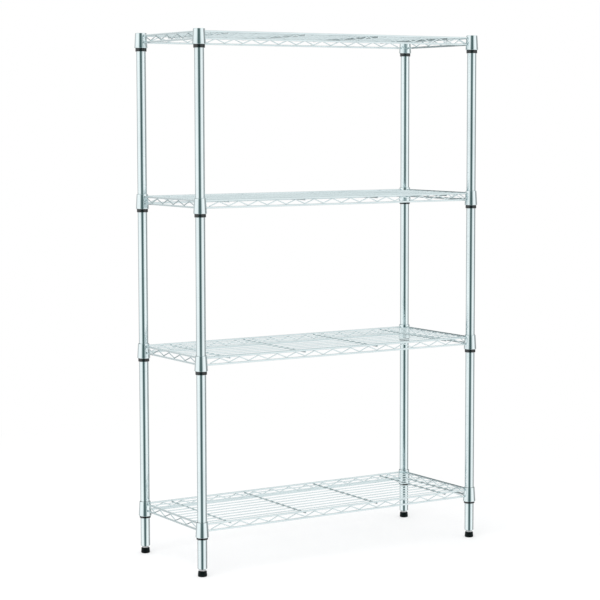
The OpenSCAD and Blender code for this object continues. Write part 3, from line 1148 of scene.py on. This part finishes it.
@dataclass
class Studio:
    """White studio: floor, lights, surroundings and the camera.

    Args:
        eye: Where the camera stands.
        azimuth: The way it looks, turned from +Y towards +X, in radians.
        pitch: How far it looks down, in radians.
        roll: Its roll, in radians.
        focal_px: Focal length in pixels of a 600 pixel frame.
        frame_px: Width of that frame.
        rise_px: How far the lens is shifted down, which lifts the picture.
        floor_half: Half the floor's width.
        fade_reach: Distances from the origin between which the floor fades.
        fade_share: Share of plain white in it at those two distances.
        lamp_place: Middle of the soft lamp.
        lamp_aim: Point that it is turned to.
        lamp_size: Its width and height.
        lamp_watts: Its power.
    """

    eye: tuple = (-2.786, -4.391, 1.190)
    azimuth: float = 0.5602
    pitch: float = -0.0868
    roll: float = -0.0019
    focal_px: float = 1887.6
    frame_px: float = 600.0
    rise_px: float = 18.0
    floor_half: float = 12.0
    fade_reach: tuple = (0.7, 2.2)
    fade_share: tuple = (0.4, 1.0)
    lamp_place: tuple = (-2.6, -1.6, 3.6)
    lamp_aim: tuple = (0.0, 0.0, 0.6)
    lamp_size: tuple = (3.0, 2.0)
    lamp_watts: float = 60.0

    def build(self) -> None:
        """Sets the scene round the object."""
        scene = bpy.context.scene
        scene.view_settings.view_transform = "Standard"
        self.camera()
        self.floor()
        self.lights()
        self.surroundings()

    def camera(self) -> None:
        """Makes the camera from its place, its three angles and its focal length."""
        data = bpy.data.cameras.new("product_camera")
        data.sensor_width = 36.0
        data.lens = data.sensor_width * self.focal_px / self.frame_px
        data.shift_y = -self.rise_px / self.frame_px
        data.clip_end = 100.0
        cos_p, sin_p = math.cos(self.pitch), math.sin(self.pitch)
        forward = Vector((math.sin(self.azimuth) * cos_p, math.cos(self.azimuth) * cos_p, sin_p))
        right = Vector((math.cos(self.azimuth), -math.sin(self.azimuth), 0.0))
        up = right.cross(forward)
        cos_r, sin_r = math.cos(self.roll), math.sin(self.roll)
        right, up = right * cos_r + up * sin_r, up * cos_r - right * sin_r
        turn = Matrix((right, up, -forward)).transposed()
        camera = bpy.data.objects.new("product_camera", data)
        camera.matrix_world = Matrix.Translation(self.eye) @ turn.to_4x4()
        bpy.context.scene.collection.objects.link(camera)
        bpy.context.scene.camera = camera

    def floor(self) -> None:
        """Makes the pale floor, which fades into the white surroundings away from the object."""
        half = self.floor_half
        mesh = bpy.data.meshes.new("studio_floor")
        corners = [(-half, -half, 0.0), (half, -half, 0.0), (half, half, 0.0), (-half, half, 0.0)]
        mesh.from_pydata(corners, [], [(0, 1, 2, 3)])
        made = bpy.data.materials.new("pale_floor")
        made.use_nodes = True
        nodes = ShaderNodes(made)
        surface = made.node_tree.nodes["Principled BSDF"]
        surface.inputs["Base Color"].default_value = (0.93, 0.935, 0.94, 1.0)
        surface.inputs["Roughness"].default_value = 0.9
        surface.inputs["Specular IOR Level"].default_value = 0.0
        coords = nodes.add("TexCoord")
        distance = nodes.maths("VectorMath", "LENGTH", coords.outputs["Object"])
        white = nodes.add("Emission", Color=(1.0, 1.0, 1.0, 1.0), Strength=1.0)
        mix = nodes.add("MixShader")
        nodes.join(nodes.span(distance.outputs["Value"], self.fade_share, self.fade_reach), mix.inputs["Fac"])
        nodes.join(surface.outputs["BSDF"], mix.inputs[1])
        nodes.join(white.outputs["Emission"], mix.inputs[2])
        nodes.join(mix.outputs["Shader"], made.node_tree.nodes["Material Output"].inputs["Surface"])
        mesh.materials.append(made)
        floor = bpy.data.objects.new("studio_floor", mesh)
        bpy.context.scene.collection.objects.link(floor)
        floor.visible_glossy = False
        floor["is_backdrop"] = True

    def lights(self) -> None:
        """Hangs one broad soft lamp high at the camera's left."""
        data = bpy.data.lights.new("soft_box", "AREA")
        data.shape = "RECTANGLE"
        data.size, data.size_y = self.lamp_size
        data.energy = self.lamp_watts
        lamp = bpy.data.objects.new("soft_box", data)
        lamp.location = self.lamp_place
        lamp.rotation_mode = "QUATERNION"
        aim = Vector(self.lamp_aim) - Vector(self.lamp_place)
        lamp.rotation_quaternion = aim.to_track_quat("-Z", "Y")
        lamp.visible_glossy = False
        bpy.context.scene.collection.objects.link(lamp)

    def surroundings(self) -> None:
        """White world, in which mirrors see a studio with darker stretches.

        A glossy ray's bearing is measured from the direction of the camera, and a ramp over the full
        turn gives the walls' brightness there. Above the walls comes a ceiling and below them a floor,
        both bright overhead and underfoot and dark towards the back.
        """
        world = bpy.data.worlds.new("white_studio")
        bpy.context.scene.world = world
        world.use_nodes = True
        nodes = ShaderNodes(world)
        direction = nodes.add("TexCoord").outputs["Generated"]
        height = nodes.add("SeparateXYZ")
        nodes.join(direction, height.inputs["Vector"])
        bearing = self.bearing(nodes, direction)
        at = lambda degrees: 0.5 + degrees / 360.0
        room = nodes.ramp(bearing, [(at(degrees), (level / HEADROOM,) * 3) for degrees, level in WALLS])
        gap = nodes.ramp(bearing, [(at(degrees), colour) for degrees, colour in GAP])
        for edge, shades in ((CEILING_EDGE, CEILING), (GROUND_EDGE, GROUND)):
            band = nodes.span(height.outputs["Z"], (0.0, 1.0), edge)
            room = self.mix(nodes, band, room, self.backward(nodes, height.outputs["Y"], shades))
        dimmed = nodes.maths("VectorMath", "MULTIPLY", room, gap)
        studio = nodes.maths("VectorMath", "SCALE", dimmed.outputs["Vector"])
        studio.inputs["Scale"].default_value = HEADROOM
        light_path = nodes.add("LightPath")
        white = nodes.add("RGB")
        white.outputs[0].default_value = (1.0, 1.0, 1.0, 1.0)
        mirrored = light_path.outputs["Is Glossy Ray"]
        seen = self.mix(nodes, mirrored, white.outputs[0], studio.outputs["Vector"])
        nodes.join(seen, world.node_tree.nodes["Background"].inputs["Color"])

    def backward(self, nodes: ShaderNodes, depth: NodeSocket, shades: tuple) -> NodeSocket:
        """Returns a colour, less the headroom, that changes with the Y part of a direction."""
        stops = [(0.5 + y / 2, tuple(part / HEADROOM for part in colour)) for y, colour in shades]
        return nodes.ramp(nodes.span(depth, (0.0, 1.0), (-1.0, 1.0)), stops)

    def bearing(self, nodes: ShaderNodes, direction: NodeSocket) -> NodeSocket:
        """Measures a direction's bearing from the camera's side.

        It is the angle whose tangent is the direction's part to the right over its part towards the
        camera's side.

        Args:
            nodes: The world's nodes.
            direction: The socket with the direction.

        Returns:
            A socket with -180 to 180 degrees as 0 to 1.
        """
        toward = (-math.sin(self.azimuth), -math.cos(self.azimuth), 0.0)
        rightward = (math.cos(self.azimuth), -math.sin(self.azimuth), 0.0)
        parts = []
        for axis in (rightward, toward):
            dot = nodes.maths("VectorMath", "DOT_PRODUCT", direction)
            dot.inputs[1].default_value = axis
            parts.append(dot.outputs["Value"])
        angle = nodes.maths("Math", "ARCTAN2", *parts)
        return nodes.span(angle.outputs["Value"], (0.0, 1.0), (-math.pi, math.pi))

    def mix(self, nodes: ShaderNodes, factor: NodeSocket, under: NodeSocket,
            over: NodeSocket) -> NodeSocket:
        """Mixes one colour over another.

        Args:
            nodes: The world's nodes.
            factor: The socket with the upper colour's share.
            under: The lower colour.
            over: The upper colour.

        Returns:
            The result's socket.
        """
        node = nodes.add("Mix")
        node.data_type = "RGBA"
        for source, target in ((factor, 0), (under, 6), (over, 7)):
            nodes.join(source, node.inputs[target])
        return node.outputs[2]


def dress_bushes() -> None:
    """Gives the hidden bushes in the posts' lower ends their steel."""
    for corner in CORNERS:
        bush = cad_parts[f"bush_{corner}"]
        for place in bush.material_slots:
            place.material = STEEL_FINISH.build()


def main() -> None:
    """Builds the unit and the studio."""
    logging.basicConfig(level=logging.INFO, format="%(message)s")
    cad_box = [list(corner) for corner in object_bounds()]
    Studio().build()
    for corner in CORNERS:
        GroovedPost(corner).build()
        ScrewFoot(corner).build()
    for tier in TIERS:
        SplitSleeves(tier).build()
        WireShelf(tier).build()
    dress_bushes()
    visual_box = [list(corner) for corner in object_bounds()]
    LOG.info("sizes written: %s", visual_box)


if __name__ == "__main__":
    main()
